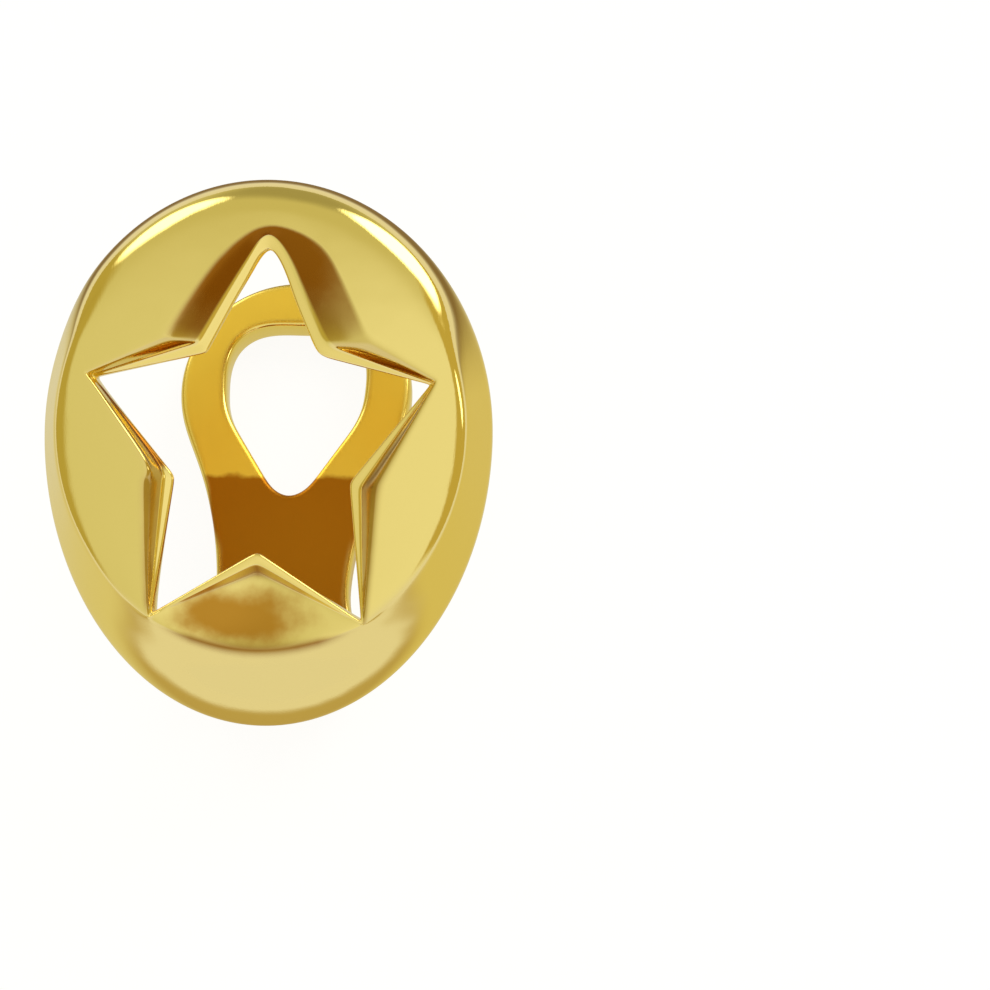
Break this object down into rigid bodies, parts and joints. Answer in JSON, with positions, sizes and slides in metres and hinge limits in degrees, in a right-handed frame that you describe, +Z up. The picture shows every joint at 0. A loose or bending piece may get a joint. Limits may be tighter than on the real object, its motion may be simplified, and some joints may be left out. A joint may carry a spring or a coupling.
{
  "type": "star tooth cover",
  "caption": "Single-tooth cap: an oval plate pierced by a star covers the front of a tooth, a short shelf passes under its edge and a pierced strap grips its back.",
  "frame": {"origin": "on the table, under the middle of the cap's box, as the cap lies on the flat back of its strap", "axes": "+Z up, towards the pierced face; +Y towards the gum end, along the strap to its round head; +X across the tooth"},
  "size_m": [0.009, 0.0105, 0.0067],
  "materials": {
    "gold_plate": "polished brass casting with bright yellow gold plating"
  },
  "bodies": {
    "root": {"star_tooth_cap": "gold_plate"}
  },
  "joints": []
}
